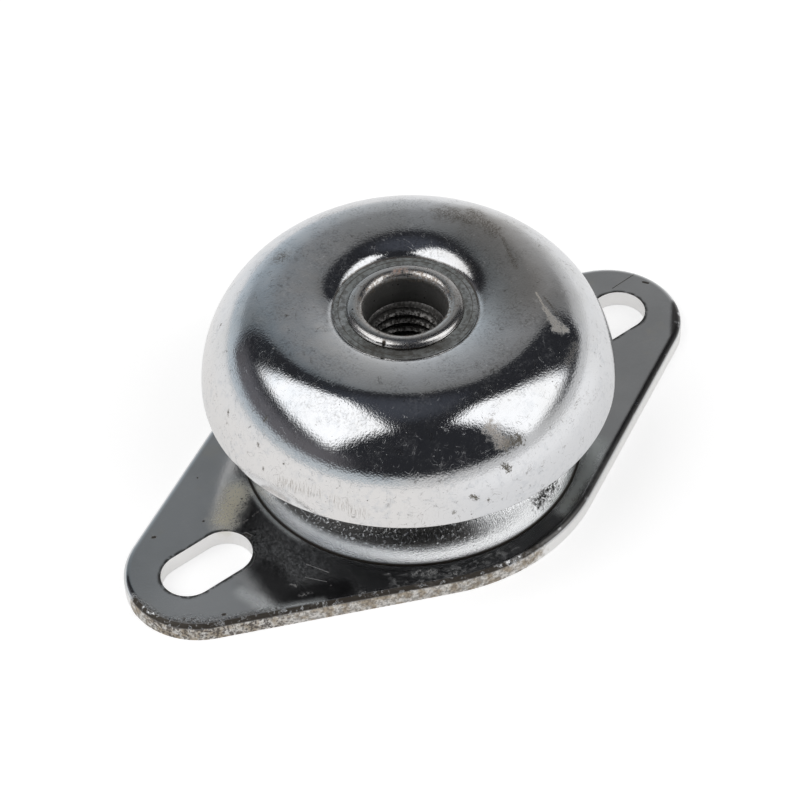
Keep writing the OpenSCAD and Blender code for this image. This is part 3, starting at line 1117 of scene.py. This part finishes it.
# Threaded bush. Turned from bar, bored and tapped, and pressed through the cap. Its lip is
# swaged over the seat, and its lower end is riveted into the rebound washer.
bush_low, bush_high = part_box("threaded_bush")
thread = mounts["thread"]
bore_r = thread["dims"]["r_mm"] * MM
pitch = 1.75 * MM
thread_r = bore_r + pitch / 2
thread_top = thread["pos_m"][2]
thread_bottom = thread_top - thread["dims"]["length_mm"] * MM
lip_z = bush_high.z
lip_r = 9.0 * MM
lip_crest_r = 7.6 * MM
lip_curl = 0.2 * MM
mouth_r = 6.3 * MM
flare_z = lip_z - 1.3 * MM
stem_r = 8.5 * MM
spigot_r = 5.5 * MM
head = 1.0 * MM
shoulder_t = 2.2 * MM
shoulder_low = seat_z - cap_sheet - shoulder_t
lead_in = 0.1 * MM
drill_point = math.radians(59)
thread_turns = 9
thread_sides = 96
bush_section = [
    (0.0, bush_low.z),
    (spigot_r + head, bush_low.z),
    (spigot_r, bush_low.z + head),
    (spigot_r, bush_low.z + 2 * head),
    (stem_r, bush_low.z + 2 * head),
    (stem_r, shoulder_low),
    (bush_high.x, shoulder_low),
    (bush_high.x, seat_z - cap_sheet),
    (neck_r - skin, seat_z - cap_sheet),
    (neck_r - skin, seat_z + skin),
    *arc((lip_r - lip_curl, seat_z + lip_curl + skin), lip_curl, 270, 360, 5),
    *quarter((lip_crest_r, seat_z), (lip_r - lip_crest_r, lip_z - seat_z), 2, 1, 16, 90, 16),
    *quarter((lip_crest_r, flare_z), (lip_crest_r - mouth_r, lip_z - flare_z), 2, -1, 86, 6, 22),
    (mouth_r, flare_z + lead_in),
    (mouth_r, thread_top + lead_in),
    (mouth_r - lead_in, thread_top),
    (thread_r + 2 * lead_in, thread_top),
    (bore_r, thread_top - 1.0 * MM),
    (bore_r, thread_bottom),
    (0.0, thread_bottom - bore_r / math.tan(drill_point)),
]
bush = turned("tapped_bush", bush_section)

tap_core = bore_r - 0.15 * MM
tap = begun(tap_core, thread_bottom + pitch)
tap_depth = thread_r - tap_core
for step_x, step_z in ((0, 0.06), (tap_depth, 0.40), (0, 0.14), (-tap_depth, 0.40)):
    draw_line(step_x, step_z * pitch)
mode("OBJECT")
turns = tap.modifiers.new("turns", "SCREW")
turns.axis = "Z"
turns.screw_offset = pitch
turns.iterations = thread_turns
turns.steps = thread_sides
turns.render_steps = thread_sides
turns.use_merge_vertices = True
turns.merge_threshold = 1e-6
bpy.ops.object.modifier_apply(modifier="turns")
mode("EDIT")
edit_all("remove_doubles", threshold=1e-6)
edit_all("fill_holes", sides=0)
edit_all("normals_make_consistent", inside=False)
mode("OBJECT")
cut_out(bush, tap)
smoothed(bush, 35)


def turned_lines(place, width, low, high):
    """Rings that a lathe tool leaves, a little uneven round the axis."""
    waves = 1 / (width * MM)
    wobble = 60
    rings = place.add("CombineXYZ", {"X": radius_of(place), "Y": z_of(place)})
    rings = vector("MULTIPLY", rings, (waves, waves, 0))
    rings = vector("ADD", rings, vector("MULTIPLY", place, (wobble, wobble, wobble)))
    return fade(noise(rings, 1.0, Detail=2.0), low, high)


def bush_material():
    """Turned steel, thinly plated. The swaged lip is bright, with brown stains inside it, and the
    plain mouth and the thread below it are duller. Painted shade darkens the bore towards the
    thread and blackens the thread's grooves and the crevice at the lip's foot."""
    steel = (0.76, 0.75, 0.74, 1)
    tool_marked = (0.60, 0.59, 0.58, 1)
    bare = (0.64, 0.64, 0.63, 1)
    brown = (0.26, 0.20, 0.15, 1)
    rust = (0.30, 0.12, 0.06, 1)
    painted_bore_shade = (0.12, 0.115, 0.11, 1)
    soot = (0.03, 0.028, 0.026, 1)

    finish = Finish("steel_bush", steel, 0.18)
    place = finish.place
    z = z_of(place)
    radius = radius_of(place)
    rings = turned_lines(place, 0.16, 0.35, 0.7)
    finish.cover(rings, tool_marked, 0.28)
    in_mouth = fade(radius, mouth_r + 0.3 * MM, mouth_r + 0.05 * MM)
    finish.cover(in_mouth, bare, 0.3, 0.95)
    finish.cover(in_mouth * rings, tool_marked, 0.3)
    inside = fade(radius, lip_crest_r - 0.1 * MM, lip_crest_r - 0.5 * MM)
    stains = inside * fade(z, flare_z - 0.8 * MM, flare_z)
    stains *= cloudy(place, 0.5, 0.45, 0.58) * cloudy(place, 2.5, 0.35, 0.6)
    finish.cover(stains * 0.75, brown, 0.45, 0.8)
    rusty = marked(place, ((3.2, 6.4, 32.6), (4.6, 5.7, 32.6), 0.45, 0.8, 0.8))
    rusty *= cloudy(place, 0.4, 0.35, 0.6)
    finish.cover(rusty * 0.7, rust, 0.6, 0.3)
    # Painted shade in the bore: darker towards the thread, and darker still and mottled below the
    # thread's top
    darker = in_mouth * fade(z, thread_top + 3.5 * MM, thread_top)
    finish.cover(darker * 0.6, painted_bore_shade, 0.4, 0.9)
    deep = fade(z, thread_top + 0.6 * MM, thread_top - 0.3 * MM)
    finish.cover(deep * 0.6, painted_bore_shade, 0.4, 0.95)
    painted_shade_mottled = deep * cloudy(place, 0.4, 0.46, 0.54)
    finish.cover(painted_shade_mottled * 0.92, soot, 0.5)
    nick = marked(
        place,
        ((-7.8, -4.5, 32.2), (-7.5, -4.3, 32.5), 0.3, 0.3, 0.4),
        ((-8.3, -3.3, 32.3), (-7.7, -4.4, 32.4), 0.13, 0.4, 0.5),
    )
    finish.cover(nick, soot, 0.5)
    # Painted shade: black in the thread's grooves and in the crevice where the lip meets the seat
    grooves = deep * fade(radius, bore_r + 0.25 * MM, thread_r - 0.1 * MM)
    grooves *= fade(z, thread_top + 0.3 * MM, thread_top - 0.3 * MM)
    finish.cover(grooves * 0.85, soot, 0.6, 0.6)
    crevice = fade(z, seat_z + 0.2 * MM, seat_z + 0.04 * MM)
    crevice *= fade(radius, neck_r, neck_r + 0.1 * MM)
    finish.cover(crevice * 0.8, soot, 0.6, 0.5)
    finish.cover(speckled(place, 0.7, 0.2, 0.3), soot, 0.5)
    worn = cloudy(place, 0.3, 0.5, 0.6) * cloudy(place, 1.8, 0.4, 0.55)
    worn *= 1.0 - in_mouth
    finish.cover(worn * 0.55, brown, 0.4)

    return finish.done(grained(place, 20.0, 16.0) + rings * 5.0)


dress(bush, bush_material())
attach(bush, "cap")
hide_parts("threaded_bush")

# Rubber. One moulding bonded between the cap and the boss, which also lines the boss's
# hole and ends in a rebound pad under it. A thin flash runs round it where the mould closed.
rubber_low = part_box("rubber_element")[0]
rubber_gap = 0.3 * MM
bond = 0.05 * MM
rubber_bore_r = boss_hole_r - 1.5 * MM
recess_r = bush_high.x + rubber_gap
pad_r = 15.5 * MM
foot_edge_r = 21.5 * MM
leave_angle = 20
pad_edge = 0.4 * MM
flash_w = 0.3 * MM
flash_t = 0.25 * MM
shoulder = boss_shoulder()
foot_angle = math.degrees(math.acos((foot_edge_r - shoulder[0]) / (shoulder_r + bond)))
foot = arc(shoulder, shoulder_r + bond, 90, foot_angle, 10)
top = crown(cap_sheet + rubber_gap, leave_angle, 90, 24)
waist = (foot[-1][0], (foot[-1][1] + top[0][1]) / 2)
side = bend(foot[-1], waist, top[0], 40)
flash_i = 17
flash_x, flash_z = side[flash_i]
flash = [
    (flash_x, flash_z - flash_t),
    (flash_x + flash_w, flash_z - flash_t / 2),
    (flash_x + flash_w, flash_z + flash_t / 2),
    (flash_x, flash_z + flash_t),
]
rubber_section = [
    (rubber_bore_r, rubber_low.z),
    *arc((pad_r - pad_edge, rubber_low.z + pad_edge), pad_edge, 270, 360, 5),
    (pad_r, boss_top - sheet - bond),
    (boss_hole_r - bond, boss_top - sheet - bond),
    (boss_hole_r - bond, boss_top + bond),
    *foot,
    *side[:flash_i - 1],
    *flash,
    *side[flash_i + 1:-1],
    *top,
    *dimple(cap_sheet + rubber_gap, 16),
    (recess_r, seat_z - cap_sheet - rubber_gap),
    (recess_r, shoulder_low - rubber_gap),
    (rubber_bore_r, shoulder_low - rubber_gap),
]
rubber = turned("moulded_rubber", rubber_section)
smoothed(rubber, 40)


def rubber_material():
    """Matt black rubber with a grey bloom in patches, dust and a fine moulded grain."""
    black = (0.022, 0.022, 0.024, 1)
    bloom = (0.060, 0.060, 0.062, 1)
    dust = (0.20, 0.19, 0.17, 1)

    finish = Finish("rubber", black, 0.55, 0.0)
    place = finish.place
    finish.cover(cloudy(place, 5, 0.4, 0.7), bloom, 0.7)
    finish.cover(speckled(place, 1.4, 0.2, 0.25) * 0.6, dust, 0.9)
    return finish.done(grained(place, 20.0, 6.0))


dress(rubber, rubber_material())
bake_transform(rubber)
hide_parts("rubber_element")

# Rebound washer. Stamped from sheet and held by the bush's riveted spigot, it stops the
# cap from being pulled off the boss.
washer_low, washer_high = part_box("rebound_washer")
washer_r = washer_high.x
punch_r = 0.4 * MM
shear_r = 0.15 * MM
washer_section = [
    (spigot_r + head + bond, washer_low.z),
    *arc((washer_r - shear_r, washer_low.z + shear_r), shear_r, 270, 360, 3),
    *arc((washer_r - punch_r, washer_high.z - punch_r), punch_r, 0, 90, 5),
    (spigot_r + bond, washer_high.z),
    (spigot_r + bond, washer_low.z + head),
]
washer = turned("stamped_washer", washer_section, sides=128)
smoothed(washer)


def washer_material():
    """Dull zinc plate over rolled sheet, with shear marks on its edge."""
    zinc = (0.60, 0.61, 0.63, 1)
    stained = (0.45, 0.44, 0.41, 1)
    soot = (0.06, 0.055, 0.05, 1)

    finish = Finish("zinc_washer", zinc, 0.28)
    place = finish.place
    finish.cover(cloudy(place, 4, 0.42, 0.65), stained, 0.4)
    finish.cover(speckled(place, 1.8, 0.3, 0.2), soot, 0.6, 0.4)
    sheared = drawn(place, washer_r, 0.12, 1.5, 0.3, 0.7)
    return finish.done(grained(place, 12.0, 3.0) + sheared * 2.0)


dress(washer, washer_material())
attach(washer, "cap")
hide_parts("rebound_washer")
